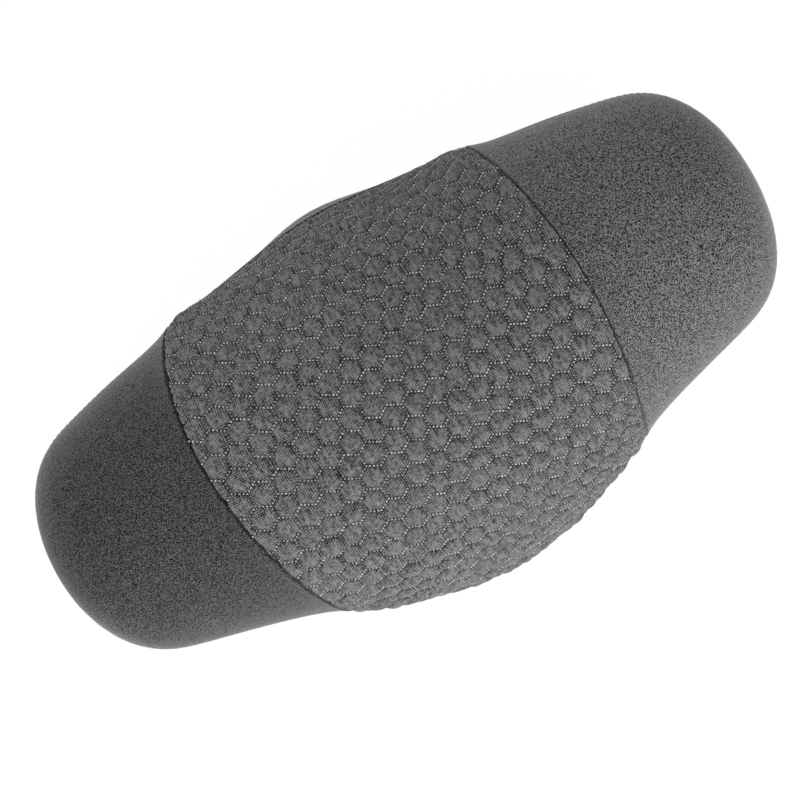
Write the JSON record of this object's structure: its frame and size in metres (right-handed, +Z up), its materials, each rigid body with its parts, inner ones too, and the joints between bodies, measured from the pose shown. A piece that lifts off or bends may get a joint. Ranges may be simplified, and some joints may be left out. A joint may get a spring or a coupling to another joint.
{
  "type": "neck roll pillow",
  "caption": "Soft round pillow roll with a swelling hexagon-quilted middle between two plain rounded ends and a plain back, for resting the neck in a seat.",
  "frame": {"origin": "middle of the small flat spot on the back, on the surface that the roll lies on, at the bottom centre of the bounding box", "axes": "+X along the roll to its right end, +Z up through the quilted crown, +Y across the roll towards the side that its two ends lie nearer to"},
  "size_m": [0.3004, 0.152, 0.1465],
  "materials": {
    "filling": "open-cell foam, matt, off-white",
    "quilted_knit": "thick grey melange double knit, quilted in hexagons with pale tuck stitches",
    "plain_knit": "plain dark grey melange knit, slightly napped",
    "seam_thread": "black polyester sewing thread, matt"
  },
  "bodies": {
    "root": {"foam_filling": "filling", "quilted_front_panel": "quilted_knit", "left_end_panel": "plain_knit", "right_end_panel": "plain_knit", "back_panel": "plain_knit", "left_cross_seam_thread": "seam_thread", "right_cross_seam_thread": "seam_thread", "edge_seam_thread": "seam_thread"}
  },
  "joints": []
}
